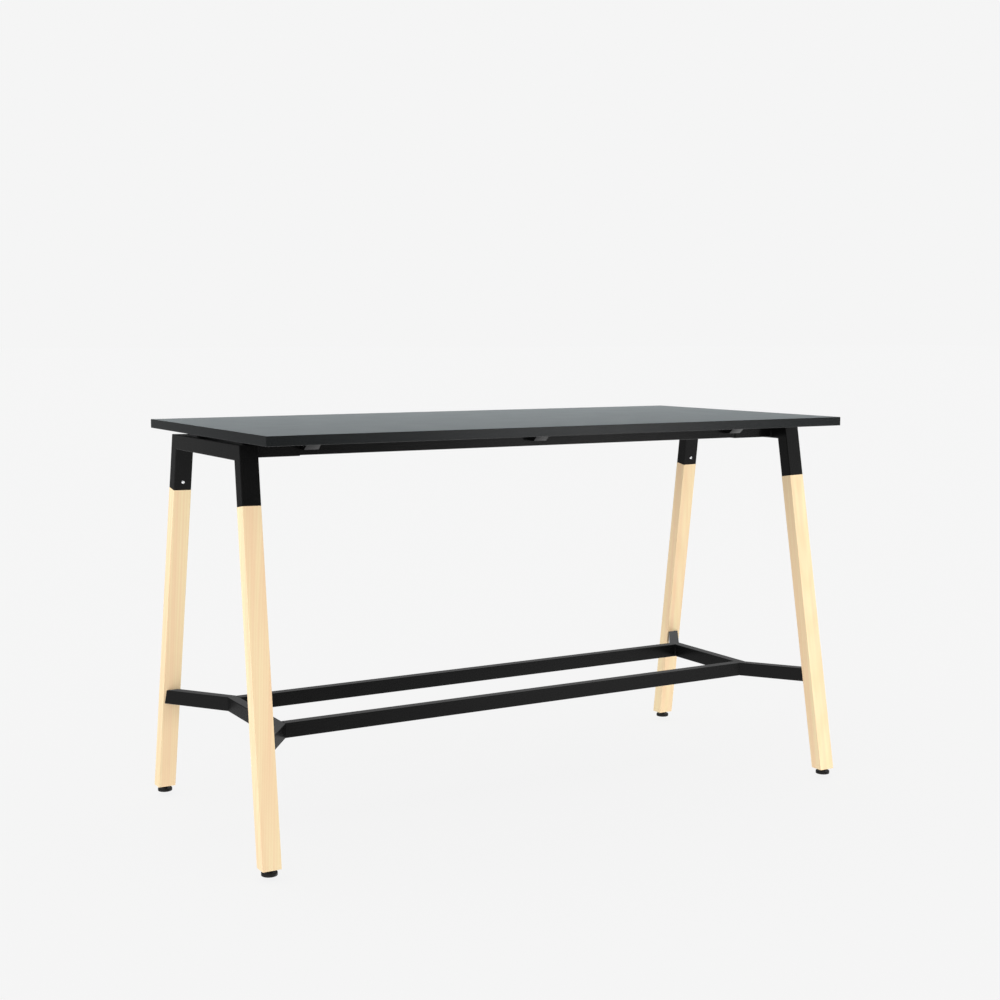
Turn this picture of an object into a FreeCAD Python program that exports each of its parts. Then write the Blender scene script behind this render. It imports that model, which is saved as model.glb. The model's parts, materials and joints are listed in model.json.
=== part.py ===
import FreeCAD
import Part
import math
import os

# Standing meeting table on splayed wooden legs: laminated top, black tube underframe, footrest frame
# and screw-in levelling feet. Millimetres. The origin is on the floor under the middle of the table,
# +X runs along the table to the right, +Y to the rear and +Z up.

# ---------------------------------------------------------------- driving dimensions: the whole table
table_length = 1800.0
table_width = 900.0
table_height = 1085.0

# ---------------------------------------------------------------- tabletop board
top_thickness = 25.0
laminate_thickness = 0.8
edge_band_thickness = 2.0
edge_band_round = 0.8

# ---------------------------------------------------------------- end frames: one crossbar, two leg sockets
frame_tube_x = 50.0            # width of tube and leg along the table
frame_tube_depth = 40.0        # depth of tube and leg in the plane of the end frame
frame_wall = 2.0
frame_round = 2.0
frame_length_at_top = 526.0    # across the crossbar's upper corners
frame_inset = 1.3              # from the end of the tabletop to the frame's outer face, at the crossbar's top
frame_gap = 8.5                # clear height between crossbar and tabletop
leg_splay = 9.31               # degrees, legs spread to front and rear
leg_lean = 1.17                # degrees, whole end frame leans outwards along the table
socket_drop = 112.5            # from the crossbar's underside to the socket's lower end, on the leg's axis

# ---------------------------------------------------------------- wooden legs
leg_round = 1.2
leg_bottom_height = 16.5       # the legs are cut level at this height
tenon_length = 88.0
tenon_clearance = 0.2          # between tenon and socket wall, each side
leg_bolt_from_end = 24.0       # leg bolt above the socket's lower end

# ---------------------------------------------------------------- long rails and their sleeves
rail_width = 40.0
rail_height = 40.0
rail_wall = 1.5
rail_round = 2.0
rail_spacing = 392.0           # over the outer faces of the two rails
rail_end_gap = 4.0             # between rail end and crossbar, inside the sleeve
sleeve_wall = 1.5
sleeve_clearance = 0.3         # between rail and sleeve, each side
sleeve_length = 139.0
clamp_from_mouth = 25.0        # from the sleeve's open end to its first clamp screw
clamp_pitch = 70.0
clamp_nut_flats = 10.0         # nuts welded on the sleeves' inner sides
clamp_nut_height = 5.0
clamp_head_gap = 1.2           # between nut and screw head when the screw is tight

# ---------------------------------------------------------------- folded brackets that carry the tabletop
bracket_width = 40.0
bracket_plate = 4.0
bracket_depth = 28.7
bracket_reach_low = 26.0       # lower edge, out from the rail's outer face
bracket_reach_high = 60.0      # upper edge, out from the rail's outer face
bracket_rail_clearance = 0.5
bracket_sleeve_gap = 2.0       # between an outer bracket and the mouth of the sleeve
inner_screw_offset = 100.0     # inner pair of top screws, out from the table's centre line

# ---------------------------------------------------------------- footrest frame
footrest_height = 313.0        # floor to its upper face
footrest_tube_width = 30.0
footrest_tube_height = 40.0
footrest_wall = 2.0
footrest_round = 2.0
footrest_width = 365.0         # over the outer faces of the long tubes
footrest_inset = 105.0         # from the leg's axis in to the crossbar's outer face
end_plate_thickness = 4.0
key_hole_radius = 7.0          # hole for the key, in the arm's underside
key_hole_from_leg = 26.0

# ---------------------------------------------------------------- levelling feet
pad_radius = 20.5
pad_height = 9.0
pad_round = 2.5                # rounded upper rim
pad_foot_round = 1.0           # rounded lower rim
flange_radius = 7.0            # flange of the stud, held in the pad
flange_thickness = 3.0
flange_floor = 2.5             # pad thickness under the flange
flange_side_gap = 0.3
flange_end_gap = 0.1
collar_flats = 13.0
collar_height = 3.0
collar_gap = 0.4               # between pad and collar
stud_radius = 4.0
stud_engagement = 20.0         # stud above the leg's bottom face
stud_run_out = 8.0             # empty bore above the stud's end
running_clearance = 0.08

# ---------------------------------------------------------------- screws and threaded inserts
m6_radius = 3.0
m6_length = 14.0
m6_head_radius = 5.4
m6_head_height = 3.3
m6_key = 4.0
m6_insert_radius = 4.6
m6_insert_length = 16.0
m8_radius = 4.0
m8_length = 20.0
m8_head_radius = 7.0
m8_head_height = 4.4
m8_key = 5.0
m8_insert_radius = 6.0
m8_insert_length = 22.0
screw_hole_clearance = 0.3     # between a screw's shank and the hole in a plate or wall
insert_clearance = 0.05        # between insert and wood, and between screw and insert
head_crown = 0.45              # rounded-off share of a button head's height
key_depth = 0.6                # depth of a hexagon socket, as a share of the head's height
rivet_nut_radius = 4.4         # flush nuts in the rails' upper walls
rivet_nut_length = 12.0
sink_head_radius = 6.0         # countersunk head, flush with the bracket's upper face
sink_head_height = 3.2
wood_screw_radius = 2.2
wood_screw_head_radius = 4.6
wood_screw_head_height = 2.6
wood_screw_grip = 17.0         # length inside the tabletop
wood_screw_run_out = 1.0       # empty end of the hole in the tabletop
wood_screw_key = 3.0

# ---------------------------------------------------------------- modelling aids
cut_past = 1.0                 # how far a cutting shape reaches past the surface it opens
touch = 0.01                   # two heights this close are the same

# ---------------------------------------------------------------- derived places
top_underside = table_height - top_thickness
crossbar_top = top_underside - frame_gap
crossbar_underside = crossbar_top - frame_tube_depth
frame_x = table_length / 2 - frame_inset - frame_tube_x / 2
splay = math.radians(leg_splay)
lean = math.radians(leg_lean)
rail_top = top_underside - bracket_plate
rail_outer_y = rail_spacing / 2
rail_inner_y = rail_outer_y - rail_width
rail_middle_z = rail_top - rail_height / 2
sleeve_offset = sleeve_clearance + sleeve_wall
socket_end_z = crossbar_underside - socket_drop
footrest_middle_z = footrest_height - footrest_tube_height / 2
footrest_outer_y = footrest_width / 2
far = 3.0 * (table_length + table_width + table_height)

X_AXIS = FreeCAD.Vector(1, 0, 0)
Y_AXIS = FreeCAD.Vector(0, 1, 0)
Z_AXIS = FreeCAD.Vector(0, 0, 1)
SIDES = {"left": -1, "right": 1}
ENDS = {"front": -1, "rear": 1}
CORNERS = [(end, side) for end in ENDS for side in SIDES]


# ---------------------------------------------------------------- building blocks
def block(low, high):
    """Box between two opposite corners."""
    size = [b - a for a, b in zip(low, high)]
    return Part.makeBox(size[0], size[1], size[2], FreeCAD.Vector(*low))


def cylinder(radius, low, high):
    """Upright cylinder about the Z axis, from height low to height high."""
    return Part.makeCylinder(radius, high - low, FreeCAD.Vector(0, 0, low))


def placed(shape, point, direction):
    """Copy of a shape with its origin at point and its own +Z turned to direction."""
    copy = shape.copy()
    copy.Placement = FreeCAD.Placement(point, FreeCAD.Rotation(Z_AXIS, direction))
    return copy


def beyond(point, normal):
    """Everything on the normal's side of the plane through point."""
    return placed(block((-far / 2, -far / 2, 0), (far / 2, far / 2, far)), point, normal)


def bar(width, depth, length, radius):
    """Bar of width (X) by depth (Y) about the Z axis, from z = 0 to length, with rounded long edges."""
    shape = block((-width / 2, -depth / 2, 0), (width / 2, depth / 2, length))
    if radius <= 0:
        return shape
    long_edges = [e for e in shape.Edges if abs(e.tangentAt(e.FirstParameter).z) > 0.99]
    return shape.makeFillet(radius, long_edges)


def tube(width, depth, length, wall, radius):
    """Rectangular tube about the Z axis, open at both ends, with rounded edges outside and inside."""
    inner = bar(width - 2 * wall, depth - 2 * wall, length + 2 * wall, max(radius - wall, 0))
    inner.translate(Z_AXIS * -wall)
    return bar(width, depth, length, radius).cut(inner)


def hexagon(flats, low, high):
    """Upright hexagonal prism about the Z axis."""
    reach = flats / math.sqrt(3)
    points = []
    for k in range(7):
        turn = math.radians(60 * k)
        points.append(FreeCAD.Vector(reach * math.cos(turn), reach * math.sin(turn), low))
    return Part.Face(Part.makePolygon(points)).extrude(Z_AXIS * (high - low))


def edges_at(shape, height):
    """Edges that lie at the given height or above it."""
    return [e for e in shape.Edges if e.BoundBox.ZMin > height - touch]


def sweep_profile(points, half_width):
    """Solid from a closed outline in the YZ plane, spread evenly to both sides of x = 0."""
    corners = [FreeCAD.Vector(-half_width, y, z) for y, z in points]
    outline = Part.makePolygon(corners + corners[:1])
    return Part.Face(outline).extrude(X_AXIS * (2 * half_width))


def leaned(shape):
    """Right-hand end frame piece, built upright, turned to the lean of the end frame."""
    copy = shape.copy()
    copy.rotate(FreeCAD.Vector(frame_x, 0, crossbar_top), Y_AXIS, -leg_lean)
    return copy


def leaned_point(point):
    """The same turn for a single point."""
    pivot = FreeCAD.Vector(frame_x, 0, crossbar_top)
    return FreeCAD.Rotation(Y_AXIS, -leg_lean).multVec(point - pivot) + pivot


def at_corner(shape, end, side):
    """Copy of a rear right piece for one of the table's four corners."""
    copy = shape.copy()
    if SIDES[side] < 0:
        copy = copy.mirror(FreeCAD.Vector(0, 0, 0), X_AXIS)
    if ENDS[end] < 0:
        copy = copy.mirror(FreeCAD.Vector(0, 0, 0), Y_AXIS)
    return copy


def at_all_corners(shape):
    """The four copies of a rear right piece, as one group."""
    return Part.makeCompound([at_corner(shape, end, side) for end, side in CORNERS])


def save(node, shape):
    """Write one node and print what it measures."""
    solids = shape.Solids
    size = shape.BoundBox
    sound = all(s.isValid() and s.isClosed() and s.Volume > 0 for s in solids)
    print(f"{node}: {len(solids)} solid(s), {size.XLength:.1f} x {size.YLength:.1f} x {size.ZLength:.1f} mm, "
          f"{shape.Volume / 1000:.2f} cm3{'' if sound else '  NOT SOUND'}")
    shape.exportStep(f"parts/{node}.step")


# ---------------------------------------------------------------- screws and inserts, head down to point
def socket_screw(radius, length, head_radius, head_height, key):
    """Button-head screw: its seat is at z = 0, the shank points to -Z and the head to +Z."""
    head = cylinder(head_radius, 0, head_height)
    head = head.makeChamfer(head_height * head_crown, edges_at(head, head_height))
    recess = hexagon(key, head_height * (1 - key_depth), head_height + cut_past)
    return head.fuse(cylinder(radius, -length, 0)).removeSplitter().cut(recess)


def countersunk_screw(radius, length, head_radius, head_height, key):
    """Countersunk screw: the top of its head is at z = 0 and its point at -length."""
    head = Part.makeCone(radius, head_radius, head_height, FreeCAD.Vector(0, 0, -head_height))
    recess = hexagon(key, -head_height * key_depth, cut_past)
    return head.fuse(cylinder(radius, -length, -head_height)).removeSplitter().cut(recess)


def countersunk_hole():
    """Countersink and clearance hole through the bracket's plate, its mouth at z = 0."""
    slope = (sink_head_radius - m6_radius) / sink_head_height
    narrow = m6_radius + insert_clearance
    wide = sink_head_radius + insert_clearance + slope * cut_past
    cone = Part.makeCone(narrow, wide, sink_head_height + cut_past, FreeCAD.Vector(0, 0, -sink_head_height))
    return cone.fuse(cylinder(m6_radius + screw_hole_clearance, -bracket_plate - cut_past, 0))


def threaded_insert(outer_radius, bore_radius, length):
    """Insert whose mouth is at z = 0 and which reaches down to -length."""
    return cylinder(outer_radius, -length, 0).cut(cylinder(bore_radius, -length - cut_past, cut_past))


leg_bolt = socket_screw(m6_radius, m6_length, m6_head_radius, m6_head_height, m6_key)
leg_bolt_insert = threaded_insert(m6_insert_radius, m6_radius + insert_clearance, m6_insert_length)
footrest_bolt = socket_screw(m8_radius, m8_length, m8_head_radius, m8_head_height, m8_key)
m8_insert = threaded_insert(m8_insert_radius, m8_radius + insert_clearance, m8_insert_length)
foot_insert = threaded_insert(m8_insert_radius, stud_radius + running_clearance, m8_insert_length)
rivet_nut = threaded_insert(rivet_nut_radius, m6_radius + insert_clearance, rivet_nut_length)


# ---------------------------------------------------------------- leg lines, rear right, frame upright
def leg_outer_y(z):
    return frame_length_at_top / 2 + math.tan(splay) * (crossbar_top - z)


def leg_inner_y(z):
    return leg_outer_y(z) - frame_tube_depth / math.cos(splay)


def leg_axis_point(z):
    return FreeCAD.Vector(frame_x, (leg_outer_y(z) + leg_inner_y(z)) / 2, z)


LEG_DOWN = FreeCAD.Vector(0, math.sin(splay), -math.cos(splay))
LEG_INWARD = FreeCAD.Vector(0, -math.cos(splay), -math.sin(splay))


def along_leg(shape, z):
    """Copy of a shape built down its own +Z, set on the leg's axis at height z."""
    copy = shape.copy()
    turn = FreeCAD.Rotation(X_AXIS, 180 + leg_splay)
    copy.Placement = FreeCAD.Placement(leg_axis_point(z), turn)
    return copy


# ---------------------------------------------------------------- tabletop
def make_tabletop():
    half_x = table_length / 2
    half_y = table_width / 2
    core_x = half_x - edge_band_thickness
    core_y = half_y - edge_band_thickness
    backer_top = top_underside + laminate_thickness
    face_low = table_height - laminate_thickness
    core = block((-core_x, -core_y, backer_top), (core_x, core_y, face_low))
    backer = block((-core_x, -core_y, top_underside), (core_x, core_y, backer_top))
    face = block((-core_x, -core_y, face_low), (core_x, core_y, table_height))
    pilot = cylinder(wood_screw_radius + insert_clearance, -cut_past, wood_screw_grip + wood_screw_run_out)
    for place in top_screw_places():
        hole = placed(pilot, place, Z_AXIS)
        core = core.cut(hole)
        backer = backer.cut(hole)
    save("tabletop_core", core)
    save("tabletop_backing_laminate", backer)
    save("tabletop_face_laminate", face)
    long_band = block((-half_x, core_y, top_underside), (half_x, half_y, table_height))
    short_band = block((core_x, -core_y, top_underside), (half_x, core_y, table_height))
    outer_edges = []
    for e in long_band.Edges:
        reach = e.BoundBox
        if reach.YMin > half_y - touch or reach.XMin > half_x - touch or reach.XMax < touch - half_x:
            if reach.YMax > core_y + touch:
                outer_edges.append(e)
    long_band = long_band.makeFillet(edge_band_round, outer_edges)
    level = [e for e in short_band.Edges if e.BoundBox.XMin > half_x - touch and e.BoundBox.ZLength < touch]
    short_band = short_band.makeFillet(edge_band_round, level)
    for end in ENDS:
        save(f"{end}_edge_band", at_corner(long_band, end, "right"))
    for side in SIDES:
        save(f"{side}_edge_band", at_corner(short_band, "rear", side))


# ---------------------------------------------------------------- end frames
def mitre_plane():
    """Point and outward normal of the joint between crossbar and rear socket."""
    outer = FreeCAD.Vector(frame_x, leg_outer_y(crossbar_top), crossbar_top)
    inner = FreeCAD.Vector(frame_x, leg_inner_y(crossbar_underside), crossbar_underside)
    along = outer - inner
    return outer, FreeCAD.Vector(0, along.z, -along.y)


def make_crossbar():
    point, normal = mitre_plane()
    length = frame_length_at_top + 2 * frame_tube_depth
    shape = tube(frame_tube_x, frame_tube_depth, length, frame_wall, frame_round)
    shape.Placement = FreeCAD.Placement(
        FreeCAD.Vector(frame_x, -length / 2, crossbar_top - frame_tube_depth / 2),
        FreeCAD.Rotation(X_AXIS, -90))
    rear_offcut = beyond(point, normal)
    front_offcut = rear_offcut.mirror(FreeCAD.Vector(0, 0, 0), Y_AXIS)
    return leaned(shape.cut(rear_offcut).cut(front_offcut))


def bolt_place():
    """Seat of the leg bolt on the socket's inner face, in the upright frame."""
    on_axis = leg_axis_point(socket_end_z) - LEG_DOWN * leg_bolt_from_end
    return on_axis + LEG_INWARD * (frame_tube_depth / 2)


def make_socket():
    point, normal = mitre_plane()
    top_z = crossbar_top + frame_tube_depth
    length = (top_z - socket_end_z) / math.cos(splay)
    shape = along_leg(tube(frame_tube_x, frame_tube_depth, length, frame_wall, frame_round), top_z)
    shape = shape.cut(beyond(point, normal * -1))
    hole = cylinder(m6_radius + screw_hole_clearance, -2 * frame_wall, frame_wall)
    return leaned(shape.cut(placed(hole, bolt_place(), LEG_INWARD)))


def leg_bolt_insert_place():
    """Mouth of the leg bolt's insert, on the tenon's inner face."""
    return bolt_place() - LEG_INWARD * (frame_wall + tenon_clearance)


def footrest_bolt_place():
    """Middle of the footrest's seat on the leg's inner face, in the upright frame."""
    return leg_axis_point(footrest_middle_z) + LEG_INWARD * (frame_tube_depth / 2)


def foot_centre():
    """Point where the leaned leg's axis meets the leg's bottom face."""
    high = leaned_point(leg_axis_point(socket_end_z))
    low = leaned_point(leg_axis_point(0))
    share = (high.z - leg_bottom_height) / (high.z - low.z)
    return high + (low - high) * share


def make_leg():
    length = socket_end_z / math.cos(splay) + frame_tube_depth
    shaft = along_leg(bar(frame_tube_x, frame_tube_depth, length, leg_round), socket_end_z)
    inset = 2 * (frame_wall + tenon_clearance)
    tenon = bar(frame_tube_x - inset, frame_tube_depth - inset, tenon_length + frame_wall, leg_round)
    tenon.translate(Z_AXIS * -tenon_length)
    leg = leaned(shaft.fuse(along_leg(tenon, socket_end_z)).removeSplitter())
    leg = leg.cut(beyond(FreeCAD.Vector(0, 0, leg_bottom_height), Z_AXIS * -1))
    bolt_hole = cylinder(m6_insert_radius + insert_clearance, -m6_insert_length, cut_past)
    footrest_hole = cylinder(m8_insert_radius + insert_clearance, -m8_insert_length, cut_past)
    leg = leg.cut(leaned(placed(bolt_hole, leg_bolt_insert_place(), LEG_INWARD)))
    leg = leg.cut(leaned(placed(footrest_hole, footrest_bolt_place(), LEG_INWARD)))
    foot_hole = cylinder(m8_insert_radius + insert_clearance, -cut_past, m8_insert_length)
    stud_hole_depth = max(m8_insert_length, stud_engagement) + stud_run_out
    stud_hole = cylinder(stud_radius + screw_hole_clearance, -cut_past, stud_hole_depth)
    return leg.cut(placed(foot_hole.fuse(stud_hole), foot_centre(), Z_AXIS))


def make_end_frames():
    crossbar = make_crossbar()
    for side in SIDES:
        save(f"{side}_end_crossbar", at_corner(crossbar, "rear", side))
    socket = make_socket()
    leg = make_leg()
    for end, side in CORNERS:
        save(f"{end}_{side}_leg_socket", at_corner(socket, end, side))
        save(f"{end}_{side}_leg", at_corner(leg, end, side))
    bolt = leaned(placed(leg_bolt, bolt_place(), LEG_INWARD))
    insert = leaned(placed(leg_bolt_insert, leg_bolt_insert_place(), LEG_INWARD))
    save("leg_bolts", at_all_corners(bolt))
    save("leg_bolt_inserts", at_all_corners(insert))


# ---------------------------------------------------------------- rails and sleeves
def crossbar_inner_x(z):
    """X of the leaned crossbar's inner face at height z."""
    return frame_x - frame_tube_x / 2 / math.cos(lean) + math.tan(lean) * (crossbar_top - z)


def sleeve_mouth_x():
    return crossbar_inner_x(rail_middle_z) - sleeve_length


def rail_end_x():
    return crossbar_inner_x(rail_top) - rail_end_gap


def clamp_xs():
    first = sleeve_mouth_x() + clamp_from_mouth
    return [first, first + clamp_pitch]


def lie_along_x(shape, start_x, y, z):
    """Shape built along its own +Z, laid along +X from start_x, width up."""
    copy = shape.copy()
    copy.Placement = FreeCAD.Placement(FreeCAD.Vector(start_x, y, z), FreeCAD.Rotation(Y_AXIS, 90))
    return copy


def rear_rail_y():
    return rail_outer_y - rail_width / 2


def bracket_xs():
    offset = sleeve_mouth_x() - bracket_sleeve_gap - bracket_width / 2
    return {"left": -offset, "middle": 0.0, "right": offset}


def make_rails():
    length = 2 * rail_end_x()
    rail = lie_along_x(tube(rail_height, rail_width, length, rail_wall, rail_round),
                       -rail_end_x(), rear_rail_y(), rail_middle_z)
    nut_hole = cylinder(rivet_nut_radius + insert_clearance, -rivet_nut_length, cut_past)
    for x in bracket_xs().values():
        rail = rail.cut(placed(nut_hole, FreeCAD.Vector(x, rear_rail_y(), rail_top), Z_AXIS))
    for end in ENDS:
        save(f"{end}_rail", at_corner(rail, end, "right"))


def make_sleeves():
    start = sleeve_mouth_x()
    length = sleeve_length + frame_tube_x / 2
    sleeve_height = rail_height + 2 * sleeve_offset
    sleeve_width = rail_width + 2 * sleeve_offset
    sleeve = tube(sleeve_height, sleeve_width, length, sleeve_wall, rail_round)
    sleeve = lie_along_x(sleeve, start, rear_rail_y(), rail_middle_z)
    face = FreeCAD.Vector(frame_x - frame_tube_x / 2, 0, crossbar_top)
    sleeve = sleeve.cut(leaned(beyond(face, X_AXIS)))
    hole = cylinder(m6_radius + screw_hole_clearance, 0, sleeve_offset + cut_past)
    for x in clamp_xs():
        sleeve = sleeve.cut(placed(hole, FreeCAD.Vector(x, rail_inner_y, rail_middle_z), Y_AXIS * -1))
    for end, side in CORNERS:
        save(f"{end}_{side}_rail_sleeve", at_corner(sleeve, end, side))


def make_clamps():
    """Screws that press on the rails' inner faces, in nuts welded to the sleeves."""
    screw_length = sleeve_offset + clamp_nut_height + clamp_head_gap
    screw = socket_screw(m6_radius, screw_length, m6_head_radius, m6_head_height, m6_key)
    nut = hexagon(clamp_nut_flats, 0, clamp_nut_height)
    nut = nut.cut(cylinder(m6_radius + insert_clearance, -cut_past, clamp_nut_height + cut_past))
    screws = []
    nuts = []
    for x in clamp_xs():
        screw_seat = FreeCAD.Vector(x, rail_inner_y - screw_length, rail_middle_z)
        nut_seat = FreeCAD.Vector(x, rail_inner_y - sleeve_offset, rail_middle_z)
        screws += at_all_corners(placed(screw, screw_seat, Y_AXIS * -1)).Solids
        nuts += at_all_corners(placed(nut, nut_seat, Y_AXIS * -1)).Solids
    save("rail_clamp_screws", Part.makeCompound(screws))
    save("rail_clamp_nuts", Part.makeCompound(nuts))


# ---------------------------------------------------------------- brackets under the tabletop
def top_screw_ys():
    outer = rail_outer_y + bracket_reach_low / 2
    return [-outer, -inner_screw_offset, inner_screw_offset, outer]


def top_screw_places():
    return [FreeCAD.Vector(x, y, top_underside) for x in bracket_xs().values() for y in top_screw_ys()]


def bracket_outline(inset, open_below):
    """Outline in the YZ plane, inset all round, its slanted ends carried down past the lower edge."""
    low_y = rail_outer_y + bracket_reach_low
    high_y = rail_outer_y + bracket_reach_high
    low_z = top_underside - bracket_depth
    run = high_y - low_y
    shift = inset * math.hypot(run, bracket_depth) / bracket_depth
    slope = run / bracket_depth
    high = top_underside - inset
    low = low_z - open_below
    right_high = high_y - shift - slope * inset
    right_low = low_y - shift - slope * open_below
    return [(right_high, high), (-right_high, high), (-right_low, low), (right_low, low)]


def make_brackets():
    body = sweep_profile(bracket_outline(0, 0), bracket_width / 2)
    hollow = sweep_profile(bracket_outline(bracket_plate, cut_past), bracket_width / 2 - bracket_plate)
    body = body.cut(hollow)
    low = top_underside - bracket_depth - cut_past
    rail_space = block((-bracket_width, rail_inner_y - bracket_rail_clearance, low),
                       (bracket_width, rail_outer_y + bracket_rail_clearance, rail_top))
    sink = placed(countersunk_hole(), FreeCAD.Vector(0, rear_rail_y(), top_underside), Z_AXIS)
    for end in ENDS:
        body = body.cut(at_corner(rail_space, end, "right"))
        body = body.cut(at_corner(sink, end, "right"))
    hole = cylinder(wood_screw_radius + screw_hole_clearance, -bracket_plate - cut_past, cut_past)
    for y in top_screw_ys():
        body = body.cut(placed(hole, FreeCAD.Vector(0, y, top_underside), Z_AXIS))
    for name, x in bracket_xs().items():
        bracket = body.copy()
        bracket.translate(X_AXIS * x)
        save(f"{name}_top_bracket", bracket)


def make_bracket_fasteners():
    bracket_screw = countersunk_screw(m6_radius, m6_length, sink_head_radius, sink_head_height, m6_key)
    bracket_screws = []
    nuts = []
    for x in bracket_xs().values():
        for y in (-rear_rail_y(), rear_rail_y()):
            bracket_screws.append(placed(bracket_screw, FreeCAD.Vector(x, y, top_underside), Z_AXIS))
            nuts.append(placed(rivet_nut, FreeCAD.Vector(x, y, rail_top), Z_AXIS))
    save("bracket_screws", Part.makeCompound(bracket_screws))
    save("bracket_rivet_nuts", Part.makeCompound(nuts))
    screw = socket_screw(wood_screw_radius, wood_screw_grip + bracket_plate, wood_screw_head_radius,
                         wood_screw_head_height, wood_screw_key)
    seats = [place - Z_AXIS * bracket_plate for place in top_screw_places()]
    save("top_fixing_screws", Part.makeCompound([placed(screw, seat, Z_AXIS * -1) for seat in seats]))


# ---------------------------------------------------------------- footrest frame
def footrest_outer_x():
    return leaned_point(leg_axis_point(footrest_middle_z)).x - footrest_inset


def footrest_inner_x():
    return footrest_outer_x() - footrest_tube_width


def arm_line():
    """Start and direction of the rear right arm's centre line, seen from above.

    The arm's outer edge springs from the corner between long tube and crossbar, and its
    centre line ends in the middle of the leg's inner face.
    """
    spring = FreeCAD.Vector(footrest_inner_x(), footrest_outer_y, footrest_middle_z)
    seat = leaned_point(footrest_bolt_place())
    seat.z = footrest_middle_z
    reach = seat - spring
    turn = math.atan2(reach.y, reach.x) + math.asin(footrest_tube_width / 2 / reach.Length)
    direction = FreeCAD.Vector(math.cos(turn), math.sin(turn), 0)
    aside = FreeCAD.Vector(math.sin(turn), -math.cos(turn), 0)
    return spring + aside * (footrest_tube_width / 2), direction


def along_arm(shape, start):
    """Shape built along its own +Z (X up, Y across), laid level along the arm's direction."""
    direction = arm_line()[1]
    heading = math.degrees(math.atan2(direction.y, direction.x))
    lay = FreeCAD.Rotation(Z_AXIS, heading).multiply(FreeCAD.Rotation(Y_AXIS, 90))
    copy = shape.copy()
    copy.Placement = FreeCAD.Placement(start, lay)
    return copy


def make_footrest():
    length = 2 * footrest_inner_x()
    long_tube = tube(footrest_tube_height, footrest_tube_width, length, footrest_wall, footrest_round)
    long_tube = lie_along_x(long_tube, -footrest_inner_x(), footrest_outer_y - footrest_tube_width / 2,
                            footrest_middle_z)
    for end in ENDS:
        save(f"{end}_footrest_tube", at_corner(long_tube, end, "right"))
    cross = tube(footrest_tube_width, footrest_tube_height, footrest_width, footrest_wall, footrest_round)
    cross.Placement = FreeCAD.Placement(
        FreeCAD.Vector(footrest_outer_x() - footrest_tube_width / 2, footrest_outer_y, footrest_middle_z),
        FreeCAD.Rotation(X_AXIS, 90))
    for side in SIDES:
        save(f"{side}_footrest_crossbar", at_corner(cross, "rear", side))


def make_footrest_arms():
    start, direction = arm_line()
    back = footrest_tube_width
    length = back + (leaned_point(footrest_bolt_place()) - start).Length + 2 * footrest_tube_height
    low_z = footrest_height - footrest_tube_height - cut_past
    high_z = footrest_height + cut_past
    corner = block((0, 0, low_z), (footrest_outer_x(), footrest_outer_y, high_z))
    leg_space = leaned(beyond(footrest_bolt_place(), LEG_INWARD * -1))
    plate_face = footrest_bolt_place() + LEG_INWARD * end_plate_thickness
    plate_space = leaned(beyond(plate_face, LEG_INWARD * -1))
    solid = bar(footrest_tube_height, footrest_tube_width, length, footrest_round)
    hollow = tube(footrest_tube_height, footrest_tube_width, length, footrest_wall, footrest_round)
    whole = along_arm(solid, start - direction * back).cut(corner)
    arm = along_arm(hollow, start - direction * back).cut(corner).cut(plate_space)
    key_place = leaned_point(plate_face) - direction * key_hole_from_leg
    key_place.z = low_z
    arm = arm.cut(placed(cylinder(key_hole_radius, 0, footrest_tube_height / 2), key_place, Z_AXIS))
    bolt_hole = cylinder(m8_radius + screw_hole_clearance, -cut_past, end_plate_thickness + cut_past)
    plate = whole.cut(leg_space).common(plate_space)
    plate = plate.cut(leaned(placed(bolt_hole, footrest_bolt_place(), LEG_INWARD)))
    for end, side in CORNERS:
        save(f"{end}_{side}_footrest_arm", at_corner(arm, end, side))
        save(f"{end}_{side}_footrest_end_plate", at_corner(plate, end, side))
    bolt = leaned(placed(footrest_bolt, plate_face, LEG_INWARD))
    insert = leaned(placed(m8_insert, footrest_bolt_place(), LEG_INWARD))
    save("footrest_bolts", at_all_corners(bolt))
    save("footrest_bolt_inserts", at_all_corners(insert))


# ---------------------------------------------------------------- levelling feet
def make_feet():
    centre = foot_centre()
    floor_point = FreeCAD.Vector(centre.x, centre.y, 0)
    flange_low = flange_floor + flange_end_gap
    pocket_top = flange_low + flange_thickness + flange_end_gap
    pad = cylinder(pad_radius, 0, pad_height)
    pad = pad.makeFillet(pad_round, edges_at(pad, pad_height))
    pad = pad.makeFillet(pad_foot_round, [e for e in pad.Edges if e.BoundBox.ZMax < touch])
    pad = pad.cut(cylinder(flange_radius + flange_side_gap, flange_floor, pocket_top))
    pad = pad.cut(cylinder(stud_radius + running_clearance, pocket_top - cut_past, pad_height + cut_past))
    collar_low = pad_height + collar_gap
    stud = cylinder(stud_radius, flange_low, leg_bottom_height + stud_engagement)
    stud = stud.fuse(cylinder(flange_radius, flange_low, flange_low + flange_thickness))
    stud = stud.fuse(hexagon(collar_flats, collar_low, collar_low + collar_height)).removeSplitter()
    for end, side in CORNERS:
        save(f"{end}_{side}_foot_pad", at_corner(placed(pad, floor_point, Z_AXIS), end, side))
        save(f"{end}_{side}_foot_stud", at_corner(placed(stud, floor_point, Z_AXIS), end, side))
    save("foot_inserts", at_all_corners(placed(foot_insert, centre, Z_AXIS * -1)))
    print(f"foot centre x {centre.x:.3f} y {centre.y:.3f}")


make_tabletop()
make_end_frames()
make_rails()
make_sleeves()
make_clamps()
make_brackets()
make_bracket_fasteners()
make_footrest()
make_footrest_arms()
make_feet()
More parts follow.
